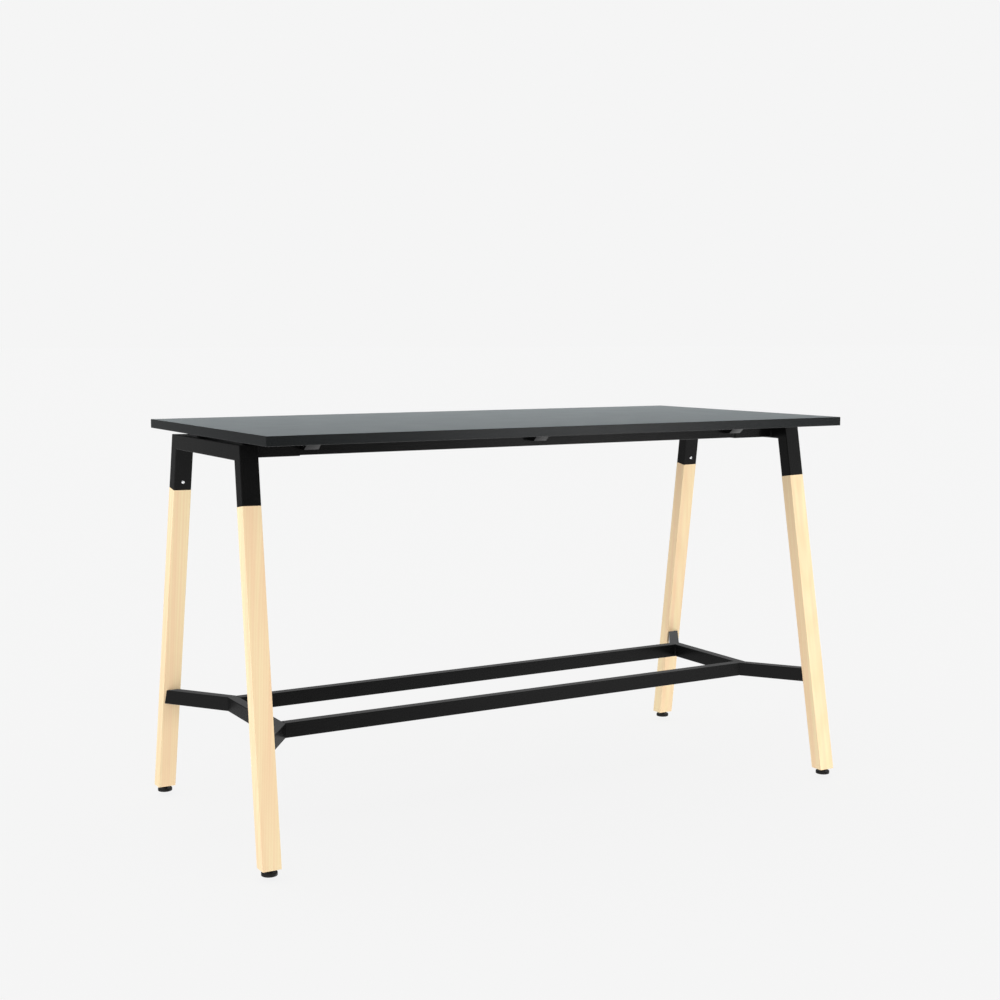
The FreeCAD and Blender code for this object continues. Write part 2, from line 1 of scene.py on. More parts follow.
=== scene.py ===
# %% [markdown]
# # A standing meeting table
#
# The table has a charcoal laminate top on a black steel underframe, four pale wooden legs that
# splay outwards, and a steel footrest. This notebook dresses the finished construction: it loads
# the pieces that are already right, gives every surface its finish, and models the small pieces
# that need more shape than the construction gives them. Everything is in metres.

# %% Load the construction
import json
import math

import bmesh
import bpy
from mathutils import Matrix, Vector

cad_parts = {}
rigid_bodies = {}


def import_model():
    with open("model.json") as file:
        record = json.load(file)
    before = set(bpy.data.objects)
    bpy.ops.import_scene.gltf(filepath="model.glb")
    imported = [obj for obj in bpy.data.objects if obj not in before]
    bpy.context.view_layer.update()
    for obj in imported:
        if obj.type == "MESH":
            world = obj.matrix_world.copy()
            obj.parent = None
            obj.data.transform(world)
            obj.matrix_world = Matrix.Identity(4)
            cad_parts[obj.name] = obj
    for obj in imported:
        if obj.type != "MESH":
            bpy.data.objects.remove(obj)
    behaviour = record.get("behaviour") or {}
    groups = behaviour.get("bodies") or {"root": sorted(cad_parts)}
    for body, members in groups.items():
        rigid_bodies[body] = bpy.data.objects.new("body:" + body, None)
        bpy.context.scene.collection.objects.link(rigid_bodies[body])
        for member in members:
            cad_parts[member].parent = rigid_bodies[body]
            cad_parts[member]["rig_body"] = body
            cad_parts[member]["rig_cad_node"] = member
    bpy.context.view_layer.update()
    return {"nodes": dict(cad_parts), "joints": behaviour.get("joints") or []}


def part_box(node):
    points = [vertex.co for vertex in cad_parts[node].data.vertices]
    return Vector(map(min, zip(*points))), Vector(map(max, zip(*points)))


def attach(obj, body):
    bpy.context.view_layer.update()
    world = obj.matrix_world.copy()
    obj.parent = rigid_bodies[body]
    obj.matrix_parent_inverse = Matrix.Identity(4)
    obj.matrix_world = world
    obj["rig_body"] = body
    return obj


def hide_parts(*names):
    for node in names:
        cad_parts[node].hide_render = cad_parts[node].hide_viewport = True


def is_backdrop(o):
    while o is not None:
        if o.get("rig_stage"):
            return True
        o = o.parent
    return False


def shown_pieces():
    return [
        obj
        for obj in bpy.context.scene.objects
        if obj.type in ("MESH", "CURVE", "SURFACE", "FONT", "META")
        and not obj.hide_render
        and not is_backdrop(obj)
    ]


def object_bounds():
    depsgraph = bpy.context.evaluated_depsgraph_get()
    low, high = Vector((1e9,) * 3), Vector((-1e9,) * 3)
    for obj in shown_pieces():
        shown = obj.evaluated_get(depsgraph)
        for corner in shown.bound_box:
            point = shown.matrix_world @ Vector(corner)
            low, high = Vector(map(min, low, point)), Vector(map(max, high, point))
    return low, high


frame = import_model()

nodes = frame["nodes"]

# %% [markdown]
# ## Building materials
#
# A finish is a tree of nodes. One function adds any node, sets its values and plugs in what feeds
# it, so a material reads as a list of its layers. Colours are written as the hex values a colour
# picker shows and turned to the linear values that the renderer works in. Patterns are sized in
# millimetres, so that each has the scale of the real finish.

# %% One function for every node
MM = 0.001


def linear(hex_colour):
    channels = [int(hex_colour[k:k + 2], 16) / 255 for k in (1, 3, 5)]
    return [c / 12.92 if c <= 0.04045 else ((c + 0.055) / 1.055) ** 2.4 for c in channels] + [1.0]


def add(tree, kind, settings=None, links=None):
    """Add a node. Settings go to a socket of that name, or else to the node; links name sockets too."""
    node = tree.nodes.new(kind)
    for name, value in (settings or {}).items():
        if isinstance(name, int) or name in node.inputs:
            node.inputs[name].default_value = value
        else:
            setattr(node, name, value)
    for name, source in (links or {}).items():
        tree.links.new(source, node.inputs[name])
    return node


def new_material(name):
    material = bpy.data.materials.new(name)
    material.use_nodes = True
    material.node_tree.nodes.clear()
    return material, material.node_tree


def dress(piece, material):
    piece.data.materials.clear()
    piece.data.materials.append(material)


def across(millimetres):
    """Noise scale at which one blob is about that many millimetres across."""
    return 1 / (millimetres * MM)


print("mid grey is", round(linear("#808080")[0], 3), "in linear light")

# %% [markdown]
# ## Polyester powder coat
#
# The steel is sprayed with black powder and baked. The film levels out to a satin skin with a very
# fine orange peel and hides the steel completely. The peel is about a millimetre from bump to bump,
# and it is drawn nearly twice as coarse, so that it shows. The coat is a plastic film, so it isn't
# metallic: the colour is nearly black, and what the eye reads is the soft gloss on the tops of the
# tubes.

# %% Powder coat
def powder_coat():
    material, tree = new_material("black_polyester_powder_coat")
    place = add(tree, "ShaderNodeTexCoord")
    peel = add(tree, "ShaderNodeTexNoise", {"Scale": across(1.8), "Detail": 2.0, "Roughness": 0.5},
               {"Vector": place.outputs["Object"]})
    cloud = add(tree, "ShaderNodeTexNoise", {"Scale": across(60), "Detail": 3.0},
                {"Vector": place.outputs["Object"]})
    colour = add(tree, "ShaderNodeMixRGB", {"Color1": linear("#0b0b0b"), "Color2": linear("#0f0f0f")},
                 {"Fac": cloud.outputs["Fac"]})
    rough = add(tree, "ShaderNodeMapRange", {"To Min": 0.21, "To Max": 0.29},
                {"Value": cloud.outputs["Fac"]})
    bump = add(tree, "ShaderNodeBump", {"Strength": 0.4, "Distance": 0.06 * MM},
               {"Height": peel.outputs["Fac"]})
    shader = add(tree, "ShaderNodeBsdfPrincipled", {"IOR": 1.5, "Specular IOR Level": 0.22},
                 {"Base Color": colour.outputs["Color"], "Roughness": rough.outputs["Result"],
                  "Normal": bump.outputs["Normal"]})
    add(tree, "ShaderNodeOutputMaterial", links={"Surface": shader.outputs["BSDF"]})
    return material


coat = powder_coat()
steel_nodes = [name for name in nodes if name.endswith((
    "crossbar", "leg_socket", "rail", "rail_sleeve", "top_bracket", "footrest_tube", "footrest_arm",
    "end_plate"))]
for name in steel_nodes:
    dress(nodes[name], coat)
print(len(steel_nodes), "steel pieces coated")

# %% [markdown]
# ## Laminate and edge band
#
# The top is a particleboard pressed between two sheets of high-pressure laminate, with ABS strips
# glued round its edges. The upper laminate is charcoal with a fine pearl texture, and a little sheen
# makes it paler at low angles. The edge band is darker and moulded a little smoother, and the lower
# laminate is a plain dull black. One function serves all three, because they differ only in tone,
# gloss and sheen.

# %% Laminates and edge band
def laminate(name, light, dark, roughness, gloss, sheen):
    material, tree = new_material(name)
    place = add(tree, "ShaderNodeTexCoord")
    pearl = add(tree, "ShaderNodeTexNoise", {"Scale": across(0.8), "Detail": 3.0},
                {"Vector": place.outputs["Object"]})
    cloud = add(tree, "ShaderNodeTexNoise", {"Scale": across(90), "Detail": 4.0},
                {"Vector": place.outputs["Object"]})
    mottle = add(tree, "ShaderNodeMath", {"operation": "MULTIPLY"},
                 {0: pearl.outputs["Fac"], 1: cloud.outputs["Fac"]})
    colour = add(tree, "ShaderNodeMixRGB", {"Color1": linear(dark), "Color2": linear(light)},
                 {"Fac": mottle.outputs["Value"]})
    rough = add(tree, "ShaderNodeMapRange", {"To Min": roughness - 0.03, "To Max": roughness + 0.03},
                {"Value": cloud.outputs["Fac"]})
    bump = add(tree, "ShaderNodeBump", {"Strength": 0.2, "Distance": 0.02 * MM},
               {"Height": pearl.outputs["Fac"]})
    shader = add(tree, "ShaderNodeBsdfPrincipled",
                 {"IOR": 1.5, "Specular IOR Level": gloss, "Sheen Weight": sheen, "Sheen Roughness": 0.35,
                  "Sheen Tint": linear("#c9e6f0")},
                 {"Base Color": colour.outputs["Color"], "Roughness": rough.outputs["Result"],
                  "Normal": bump.outputs["Normal"]})
    add(tree, "ShaderNodeOutputMaterial", links={"Surface": shader.outputs["BSDF"]})
    return material


face = laminate("charcoal_pearl_laminate", "#2a3234", "#242b2d", roughness=0.34, gloss=0.45, sheen=0.07)
band = laminate("charcoal_abs_edge_band", "#141718", "#101314", roughness=0.25, gloss=0.45, sheen=0.0)
backer = laminate("black_backing_laminate", "#161718", "#101112", roughness=0.7, gloss=0.1, sheen=0.0)
dress(nodes["tabletop_face_laminate"], face)
dress(nodes["tabletop_backing_laminate"], backer)
for name in ("front", "rear", "left", "right"):
    dress(nodes[f"{name}_edge_band"], band)
print("two laminates and four edge bands finished")

# %% [markdown]
# ## Particleboard
#
# The board between the laminates is pressed from wood chips. It only shows inside the screw holes,
# so its chips are drawn coarse and simple: a Voronoi texture gives each cell its own tone.

# %% Board
def particleboard():
    material, tree = new_material("pressed_particleboard")
    place = add(tree, "ShaderNodeTexCoord")
    chips = add(tree, "ShaderNodeTexVoronoi", {"Scale": across(3), "Randomness": 1.0},
                {"Vector": place.outputs["Object"]})
    tone = add(tree, "ShaderNodeSeparateColor", links={"Color": chips.outputs["Color"]})
    colour = add(tree, "ShaderNodeMixRGB", {"Color1": linear("#8a6a45"), "Color2": linear("#c7a777")},
                 {"Fac": tone.outputs["Red"]})
    shader = add(tree, "ShaderNodeBsdfPrincipled", {"Roughness": 0.8},
                 {"Base Color": colour.outputs["Color"]})
    add(tree, "ShaderNodeOutputMaterial", links={"Surface": shader.outputs["BSDF"]})
    return material


dress(nodes["tabletop_core"], particleboard())
print("board finished")

# %% [markdown]
# ## Leg wood
#
# The legs are planed from a pale, close-grained hardwood and sealed with a clear matt lacquer. Real
# boards show yearly rings as faint arches on one face and straight lines on the next, because the
# same rings run through the whole solid. So the grain is drawn as a solid: rings round the tree's
# heart, which runs beside the leg and a little askew, broad bands of warmer and yellower wood, and
# stretched fibres. Real fibres are a tenth of a millimetre wide, and these are drawn two, so that
# they show. Each leg comes from its own board, so its heart has its own place and slant.
#
# The pattern is laid along the leg by a Mapping node of the Texture kind, which takes the place and
# turn of the pattern itself, as one would put down a real board.

# %% Where the grain lies
ENDS = {"front": -1, "rear": 1}
SIDES = {"left": -1, "right": 1}
CORNERS = [(end, side) for end in ENDS for side in SIDES]
LEG_SPLAY = math.radians(9.31)      # a leg's slant out towards the front or the rear
LEG_LEAN = math.radians(1.17)       # its slant out towards the end of the table
GRAIN_STRETCH = 14          # how much longer than wide a swirl in the rings is
BOARD_SHIFT = 0.1           # metres along the leg for each mm of the heart's offset
HEARTS = {                  # the heart's offset from the leg's axis in mm, and its slant in degrees
    ("front", "left"): (-30, 34, 2.2, 4.0),
    ("front", "right"): (6, 34, 2.4, 0.5),
    ("rear", "left"): (62, 8, 0.4, -0.9),
    ("rear", "right"): (-8, 30, -2.0, -1.0),
}


def grain_spaces(tree, end, side):
    """Two spaces to draw in: straight along the leg, and round the heart of its tree."""
    low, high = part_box(f"{end}_{side}_leg")
    place = add(tree, "ShaderNodeTexCoord")
    along_leg = add(tree, "ShaderNodeMapping",
                    {"vector_type": "TEXTURE", "Location": (low + high) / 2,
                     "Rotation": (ENDS[end] * LEG_SPLAY, -SIDES[side] * LEG_LEAN, 0)},
                    {"Vector": place.outputs["Object"]})
    heart_x, heart_y, slant_x, slant_y = HEARTS[end, side]
    round_heart = add(tree, "ShaderNodeMapping",
                      {"vector_type": "TEXTURE",
                       "Location": (heart_x * MM, heart_y * MM, BOARD_SHIFT * heart_x),
                       "Rotation": (math.radians(slant_x), math.radians(slant_y), 0),
                       "Scale": (1, 1, GRAIN_STRETCH)},
                      {"Vector": along_leg.outputs["Vector"]})
    return along_leg.outputs["Vector"], round_heart.outputs["Vector"]


print(len(HEARTS), "hearts, one beside each leg")

# %% [markdown]
# The colour is laid on in three steps, each by a Mix node: the broad bands, then the darker line at
# the end of each year's ring, then the streaks of the fibres. The bands and fibres are noise that
# changes much more slowly along the leg than across it. The fibres also raise the grain a little
# and vary the lacquer's gloss.

# %% Wood
RING_WIDTH = 7 * MM         # about twice the real width, so that the rings show
WAVE_PHASE = 20             # radians by which the Wave node's pattern turns over one unit
BANDS_ALONG = 0.05          # how fast the bands change along the leg, against across it
FIBRES_ALONG = 0.015        # the same for the fibres


def leg_wood(end, side):
    material, tree = new_material(f"clear_lacquered_maple_{end}_{side}")
    along_leg, round_heart = grain_spaces(tree, end, side)
    rings = add(tree, "ShaderNodeTexWave",
                {"wave_type": "RINGS", "rings_direction": "Z", "wave_profile": "SIN",
                 "Scale": math.tau / (WAVE_PHASE * RING_WIDTH), "Distortion": 7.0, "Detail": 1.5,
                 "Detail Scale": 0.5}, {"Vector": round_heart})
    ring_line = add(tree, "ShaderNodeMath", {"operation": "POWER", 1: 1.6}, {0: rings.outputs["Fac"]})
    band_space = add(tree, "ShaderNodeMapping", {"Scale": (1, 1, BANDS_ALONG)}, {"Vector": round_heart})
    bands = add(tree, "ShaderNodeTexNoise", {"Scale": across(20), "Detail": 1.5, "Roughness": 0.5},
                {"Vector": band_space.outputs["Vector"]})
    fibre_space = add(tree, "ShaderNodeMapping", {"Scale": (1, 1, FIBRES_ALONG)}, {"Vector": along_leg})
    fibres = add(tree, "ShaderNodeTexNoise", {"Scale": across(2), "Detail": 3.0, "Roughness": 0.6},
                 {"Vector": fibre_space.outputs["Vector"]})
    warmth = add(tree, "ShaderNodeMapRange", {"From Min": 0.32, "From Max": 0.68},
                 {"Value": bands.outputs["Fac"]})
    base = add(tree, "ShaderNodeMixRGB", {"Color1": linear("#f2deb3"), "Color2": linear("#efcfa8")},
               {"Fac": warmth.outputs["Result"]})
    late = add(tree, "ShaderNodeMath", {"operation": "MULTIPLY", 1: 0.20}, {0: ring_line.outputs["Value"]})
    ringed = add(tree, "ShaderNodeMixRGB", {"Color2": linear("#e4bd8c")},
                 {"Fac": late.outputs["Value"], "Color1": base.outputs["Color"]})
    streak = add(tree, "ShaderNodeMapRange",
                 {"From Min": 0.4, "From Max": 0.75, "To Min": 0.0, "To Max": 0.14},
                 {"Value": fibres.outputs["Fac"]})
    colour = add(tree, "ShaderNodeMixRGB", {"Color2": linear("#e4c295")},
                 {"Fac": streak.outputs["Result"], "Color1": ringed.outputs["Color"]})
    rough = add(tree, "ShaderNodeMapRange", {"To Min": 0.48, "To Max": 0.60},
                {"Value": fibres.outputs["Fac"]})
    bump = add(tree, "ShaderNodeBump", {"Strength": 0.2, "Distance": 0.05 * MM},
               {"Height": fibres.outputs["Fac"]})
    shader = add(tree, "ShaderNodeBsdfPrincipled", {"IOR": 1.5, "Specular IOR Level": 0.35},
                 {"Base Color": colour.outputs["Color"], "Roughness": rough.outputs["Result"],
                  "Normal": bump.outputs["Normal"]})
    add(tree, "ShaderNodeOutputMaterial", links={"Surface": shader.outputs["BSDF"]})
    return material


for end, side in CORNERS:
    leg = nodes[f"{end}_{side}_leg"]
    dress(leg, leg_wood(end, side))
    leg.visible_glossy = False      # the satin coat hardly mirrors the wood beside it
print("four legs, each from its own board")

# %% [markdown]
# ## Metals and moulded plastic
#
# The leg bolts are bright zinc: plated and passivated, nearly white and faintly clouded. Screws and
# weld nuts under the top are plain zinc, greyer and blotchy. The studs of the feet are zinc that is
# passivated black, and inserts are turned brass. All a metal shows is reflection, so each is fully
# metallic, and one noise clouds its colour and its roughness together. The glides are black
# moulded polyethylene, a dull skin with a fine spark-eroded grain. That grain is finer than the
# half millimetre at which it is drawn, which is as coarse as it needs to be to break the gloss.

# %% Fastener and glide finishes
def plated(name, light, dark, roughness, grain_mm):
    material, tree = new_material(name)
    place = add(tree, "ShaderNodeTexCoord")
    grain = add(tree, "ShaderNodeTexNoise", {"Scale": across(grain_mm), "Detail": 3.0},
                {"Vector": place.outputs["Object"]})
    colour = add(tree, "ShaderNodeMixRGB", {"Color1": linear(dark), "Color2": linear(light)},
                 {"Fac": grain.outputs["Fac"]})
    rough = add(tree, "ShaderNodeMapRange", {"To Min": roughness - 0.08, "To Max": roughness + 0.08},
                {"Value": grain.outputs["Fac"]})
    shader = add(tree, "ShaderNodeBsdfPrincipled", {"Metallic": 1.0},
                 {"Base Color": colour.outputs["Color"], "Roughness": rough.outputs["Result"]})
    add(tree, "ShaderNodeOutputMaterial", links={"Surface": shader.outputs["BSDF"]})
    return material


def moulded_plastic():
    material, tree = new_material("black_moulded_polyethylene")
    place = add(tree, "ShaderNodeTexCoord")
    grain = add(tree, "ShaderNodeTexNoise", {"Scale": across(0.5), "Detail": 2.0},
                {"Vector": place.outputs["Object"]})
    colour = add(tree, "ShaderNodeMixRGB", {"Color1": linear("#0d0b0a"), "Color2": linear("#12100e")},
                 {"Fac": grain.outputs["Fac"]})
    bump = add(tree, "ShaderNodeBump", {"Strength": 0.3, "Distance": 0.02 * MM},
               {"Height": grain.outputs["Fac"]})
    shader = add(tree, "ShaderNodeBsdfPrincipled",
                 {"IOR": 1.51, "Specular IOR Level": 0.35, "Roughness": 0.45},
                 {"Base Color": colour.outputs["Color"], "Normal": bump.outputs["Normal"]})
    add(tree, "ShaderNodeOutputMaterial", links={"Surface": shader.outputs["BSDF"]})
    return material


bright_zinc = plated("bright_zinc_plated_steel", "#f0f1f2", "#dfe0e2", roughness=0.25, grain_mm=1.5)
plain_zinc = plated("plain_zinc_plated_steel", "#b9bcbf", "#9da1a6", roughness=0.40, grain_mm=4.0)
dark_zinc = plated("black_passivated_zinc_steel", "#5c5c5e", "#434345", roughness=0.42, grain_mm=3.0)
brass = plated("turned_brass", "#d0a850", "#b98f3c", roughness=0.32, grain_mm=2.0)
plastic = moulded_plastic()
for name in nodes:
    if name.endswith("inserts"):
        dress(nodes[name], brass)
    elif name.endswith(("screws", "nuts", "bolts")):
        dress(nodes[name], plain_zinc)
print("metals and plastic ready")

# %% [markdown]
# ## Selecting by hand, in code
#
# The small pieces are modelled with operators, which work on whatever is selected, and the loaded
# pieces start out selected. So each step starts by selecting one piece alone, or nothing at all.
# Faces and edges are picked by a test on their place or direction, as the eye would pick them.

# %% Selecting
NEAR = 0.01 * MM            # two heights that differ by less count as one
LOOKS_ALONG = 0.9           # cosine from which a face counts as looking that way


def select_only(piece):
    bpy.ops.object.select_all(action="DESELECT")
    piece.select_set(True)
    bpy.context.view_layer.objects.active = piece


def open_mesh(piece):
    select_only(piece)
    bpy.ops.object.mode_set(mode="EDIT")
    bpy.ops.mesh.select_all(action="DESELECT")


def close_mesh():
    bpy.ops.object.mode_set(mode="OBJECT")


def pick(piece, kind, test):
    """In edit mode, select just the faces or edges ("FACE" or "EDGE") that pass the test."""
    bpy.ops.mesh.select_mode(type=kind)
    bpy.ops.mesh.select_all(action="DESELECT")
    shape = bmesh.from_edit_mesh(piece.data)
    shape.normal_update()
    for part in (shape.faces if kind == "FACE" else shape.edges):
        if test(part):
            part.select_set(True)
    bmesh.update_edit_mesh(piece.data)


def at_height(*heights):
    """A test for edges that lie level at one of these heights."""
    return lambda edge: any(all(abs(v.co.z - z) < NEAR for v in edge.verts) for z in heights)


def facing(z, height):
    """A test for level faces at a height: z is 1 for faces that look up and -1 for down."""
    return lambda face: (face.normal.z * z > LOOKS_ALONG
                         and abs(face.calc_center_median().z - height) < NEAR)


print("pieces, faces and edges can be picked")

# %% [markdown]
# ## Shaping and placing
#
# A modifier is applied as soon as it is added, so the next step works on the finished mesh. What
# repeats is modelled once, at the origin, and copied to the places that the construction gives.
# Several fasteners share one construction piece, so a copy of it is split into its loose solids,
# and each solid tells where its fastener goes.

# %% Modifiers, copies and places
MERGE = 0.001 * MM          # corners closer than this are the same corner


def apply(piece, kind, **settings):
    """Add a modifier with its settings and apply it at once."""
    select_only(piece)
    modifier = piece.modifiers.new(kind.title(), kind)
    for name, value in settings.items():
        setattr(modifier, name, value)
    bpy.ops.object.modifier_apply(modifier=modifier.name)


def cut_away(piece, cutter):
    """Boolean difference: the cutter's space comes off the piece, and the cutter goes."""
    apply(piece, "BOOLEAN", operation="DIFFERENCE", solver="EXACT", object=cutter)
    bpy.data.objects.remove(cutter, do_unlink=True)


def smooth(piece, degrees=35):
    select_only(piece)
    bpy.ops.object.shade_smooth_by_angle(angle=math.radians(degrees))


def copy_to(model, name, point, direction):
    """Copy of a model piece with its +Z turned to direction and its origin put at point."""
    select_only(model)
    bpy.ops.object.duplicate()
    piece = bpy.context.object
    piece.name = name
    piece.rotation_mode = "QUATERNION"
    piece.rotation_quaternion = Vector(direction).to_track_quat("Z", "Y")
    piece.location = point
    bpy.ops.object.transform_apply(location=True, rotation=True, scale=True)
    return piece


def solids(node):
    """Corner points of each solid of a construction piece, from a copy split into loose parts."""
    select_only(nodes[node])
    bpy.ops.object.duplicate()
    bpy.ops.object.mode_set(mode="EDIT")
    bpy.ops.mesh.select_all(action="SELECT")
    bpy.ops.mesh.remove_doubles(threshold=MERGE)
    bpy.ops.mesh.separate(type="LOOSE")
    bpy.ops.object.mode_set(mode="OBJECT")
    parts = [[v.co.copy() for v in part.data.vertices] for part in bpy.context.selected_objects]
    bpy.ops.object.delete()
    return sorted(parts, key=lambda points: tuple(round(v, 3) for v in points[0]))


def middle(points):
    low = Vector([min(p[k] for p in points) for k in range(3)])
    high = Vector([max(p[k] for p in points) for k in range(3)])
    return (low + high) / 2


print("pieces can be cut, smoothed and copied")

# %% [markdown]
# ## Button heads
#
# A button-head bolt holds each leg in its socket, and similar ones clamp the rails and hold the
# top. A plain disc would look cut out, so the head starts as a cylinder whose upper rim is bevelled
# into a dome. The key's hexagon is cut from it with a boolean, and the shank is drawn out of the
# underside by inset and extrude. One model of each size is made and copied to its places.

# %% Leg bolts
HEAD_SIDES = 40
DOME = 0.75                 # share of the head's height that is rounded
KEY_DEPTH = 0.6             # share of the head's height that the key goes in
TIP = 0.25                  # chamfer at the shank's end, as a share of its radius


def button_head(name, head_radius, head_height, key_width, shank_radius, shank_length):
    """Bolt with its seat at z = 0, its head above and its shank below."""
    bpy.ops.object.select_all(action="DESELECT")
    bpy.ops.mesh.primitive_cylinder_add(vertices=HEAD_SIDES, radius=head_radius, depth=head_height,
                                        location=(0, 0, head_height / 2))
    bolt = bpy.context.object
    bolt.name = name
    bpy.ops.object.transform_apply(location=True)
    open_mesh(bolt)
    pick(bolt, "FACE", facing(-1, 0))
    bpy.ops.mesh.inset(thickness=head_radius - shank_radius)
    bpy.ops.mesh.extrude_region_move(TRANSFORM_OT_translate={"value": (0, 0, -shank_length)})
    pick(bolt, "EDGE", at_height(-shank_length))
    bpy.ops.mesh.bevel(offset=shank_radius * TIP, segments=1)
    pick(bolt, "EDGE", at_height(head_height))
    bpy.ops.mesh.bevel(offset=head_height * DOME, segments=7, profile=0.5)
    close_mesh()
    key_depth = head_height * KEY_DEPTH
    bpy.ops.mesh.primitive_cylinder_add(vertices=6, radius=key_width / math.sqrt(3), depth=2 * key_depth,
                                        location=(0, 0, head_height))
    cut_away(bolt, bpy.context.object)
    smooth(bolt)
    return bolt


def inward(end, side):
    """The way a leg bolt's head looks: out of the socket's inner face."""
    return Vector((SIDES[side] * math.sin(LEG_SPLAY) * math.sin(LEG_LEAN),
                   -ENDS[end] * math.cos(LEG_SPLAY),
                   -math.sin(LEG_SPLAY) * math.cos(LEG_LEAN)))


LEG_BOLT_HEAD = 3.3 * MM
model = button_head("leg_bolt_model", head_radius=5.0 * MM, head_height=LEG_BOLT_HEAD,
                    key_width=4 * MM, shank_radius=3 * MM, shank_length=14 * MM)
for points in solids("leg_bolts"):
    centre = sum(points, Vector()) / len(points)
    end = "front" if centre.y < 0 else "rear"
    side = "left" if centre.x < 0 else "right"
    direction = inward(end, side)
    reach = max((p - centre).dot(direction) for p in points)
    seat = centre + direction * (reach - LEG_BOLT_HEAD)
    bolt = copy_to(model, f"{end}_{side}_leg_bolt", seat, direction)
    dress(bolt, bright_zinc)
    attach(bolt, "frame")
    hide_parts("leg_bolts")
print("four leg bolts,", len(model.data.polygons), "faces each")
bpy.data.objects.remove(model)

# %% [markdown]
# The clamp screws press on the rails from the inner side of each sleeve. The slimmer top screws
# go up through the brackets into the board, with their heads down. Their places come from the
# construction's solids, as those of the leg bolts do: the end where the solid's head ends is where
# the new head ends.

# %% Clamp screws and top screws
CLAMP_HEAD = 3.3 * MM
model = button_head("clamp_screw_model", head_radius=5.4 * MM, head_height=CLAMP_HEAD,
                    key_width=4 * MM, shank_radius=3 * MM, shank_length=8 * MM)
for number, points in enumerate(solids("rail_clamp_screws")):
    centre = middle(points)
    direction = Vector((0, -1 if centre.y > 0 else 1, 0))
    reach = max((p - centre).dot(direction) for p in points)
    seat = centre + direction * (reach - CLAMP_HEAD)
    screw = copy_to(model, f"rail_clamp_screw_{number + 1}", seat, direction)
    dress(screw, plain_zinc)
    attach(screw, "frame")
    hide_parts("rail_clamp_screws")
bpy.data.objects.remove(model)

TOP_SCREW_HEAD = 2.6 * MM
model = button_head("top_screw_model", head_radius=4.6 * MM, head_height=TOP_SCREW_HEAD,
                    key_width=3 * MM, shank_radius=2.2 * MM, shank_length=21 * MM)
for number, points in enumerate(solids("top_fixing_screws")):
    centre = middle(points)
    lowest = min(p.z for p in points)
    seat = Vector((centre.x, centre.y, lowest + TOP_SCREW_HEAD))
    screw = copy_to(model, f"top_fixing_screw_{number + 1}", seat, (0, 0, -1))
    dress(screw, plain_zinc)
    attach(screw, "frame")
    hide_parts("top_fixing_screws")
bpy.data.objects.remove(model)
print("eight clamp screws and twelve top screws")

# %% [markdown]
# ## Rolled and cut edges
#
# Nothing in sheet metal has a truly sharp edge: a folded bracket is rounded where it bends, and a
# forged nut is chamfered. Those small rounds catch a thin line of light that makes the piece look
# real. The construction's triangles are first merged back into whole faces on a copy, and a Bevel
# modifier then rounds every sharp edge at once.

# %% Rounded copies of brackets and nuts
FLAT = math.radians(1)      # faces that turn less are one face
SHARP = math.radians(30)    # edges that turn more are rounded


def rounded_copy(node, width, segments):
    select_only(nodes[node])
    bpy.ops.object.duplicate()
    piece = bpy.context.object
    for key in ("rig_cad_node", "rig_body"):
        del piece[key]
    piece.parent = None
    piece.name = f"{node}_rounded"
    open_mesh(piece)
    bpy.ops.mesh.select_all(action="SELECT")
    bpy.ops.mesh.remove_doubles(threshold=MERGE)
    bpy.ops.mesh.dissolve_limited(angle_limit=FLAT)
    close_mesh()
    apply(piece, "BEVEL", width=width, segments=segments, limit_method="ANGLE", angle_limit=SHARP)
    smooth(piece)
    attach(piece, "frame")
    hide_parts(node)
    return piece


for name in ("left", "middle", "right"):
    bracket = rounded_copy(f"{name}_top_bracket", 0.8 * MM, 3)
weld_nuts = rounded_copy("rail_clamp_nuts", 0.5 * MM, 2)
print(len(bracket.data.polygons), "faces on a bracket,", len(weld_nuts.data.polygons), "on the weld nuts")

# %% [markdown]
# ## Weld beads
#
# The rail sleeves are welded to the crossbars round three sides, and the footrest's long tubes are
# welded in their inner corners. Outer seams are ground flush before coating, so they need nothing.
# A bead is a slim rod laid in the corner, with rounded ends, under the same coat as the tubes.
# Round a sleeve, three rods make one seam, and they follow the slant of the crossbar's face.

# %% Beads round the sleeves
BEAD_RADIUS = 2.0 * MM
BEAD_STOP = 2.5 * BEAD_RADIUS       # how far below the crossbar's top a bead ends
BEAD_END = 0.8              # share of its radius by which a bead's ends are rounded


def bead(start, end):
    """Rod with rounded ends from start to end."""
    start, end = Vector(start), Vector(end)
    length = (end - start).length
    bpy.ops.object.select_all(action="DESELECT")
    bpy.ops.mesh.primitive_cylinder_add(vertices=16, radius=BEAD_RADIUS, depth=length)
    rod = bpy.context.object
    open_mesh(rod)
    pick(rod, "EDGE", at_height(-length / 2, length / 2))
    bpy.ops.mesh.bevel(offset=BEAD_RADIUS * BEAD_END, segments=4, profile=0.5)
    close_mesh()
    rod.rotation_mode = "QUATERNION"
    rod.rotation_quaternion = (end - start).to_track_quat("Z", "Y")
    rod.location = (start + end) / 2
    select_only(rod)
    bpy.ops.object.transform_apply(location=True, rotation=True)
    return rod


def join(pieces, name):
    bpy.ops.object.select_all(action="DESELECT")
    for piece in pieces:
        piece.select_set(True)
    bpy.context.view_layer.objects.active = pieces[0]
    bpy.ops.object.join()
    pieces[0].name = name
    return pieces[0]


